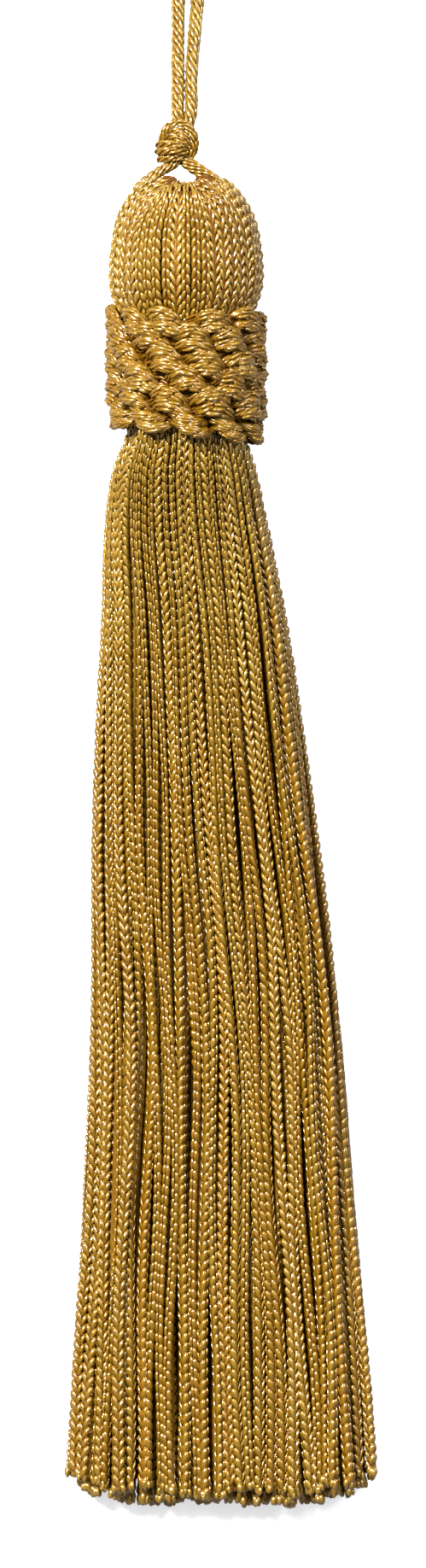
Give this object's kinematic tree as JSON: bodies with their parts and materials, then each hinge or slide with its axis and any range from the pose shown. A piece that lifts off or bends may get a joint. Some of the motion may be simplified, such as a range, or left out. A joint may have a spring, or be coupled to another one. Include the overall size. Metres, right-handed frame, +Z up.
{
  "type": "chain tassel",
  "caption": "Gold chainette tassel with a round head, a woven cord collar, a long loose skirt and a knotted loop of twisted cord to hang it by.",
  "frame": {"origin": "on the table, under the middle of the tassel without its hanging loop", "axes": "+X to the right and +Y along the tassel towards its hanging loop, as seen from above; +Z up from the table"},
  "size_m": [0.037, 0.2168, 0.0179],
  "materials": {
    "chainette": "satin gold rayon chainette",
    "collar_cord": "satin gold twisted rayon cord",
    "loop_cord": "satin gold twisted rayon cord"
  },
  "bodies": {
    "root": {"head_and_skirt": "chainette", "collar": "collar_cord", "knot": "loop_cord", "hanging_cord": "loop_cord"}
  },
  "joints": []
}
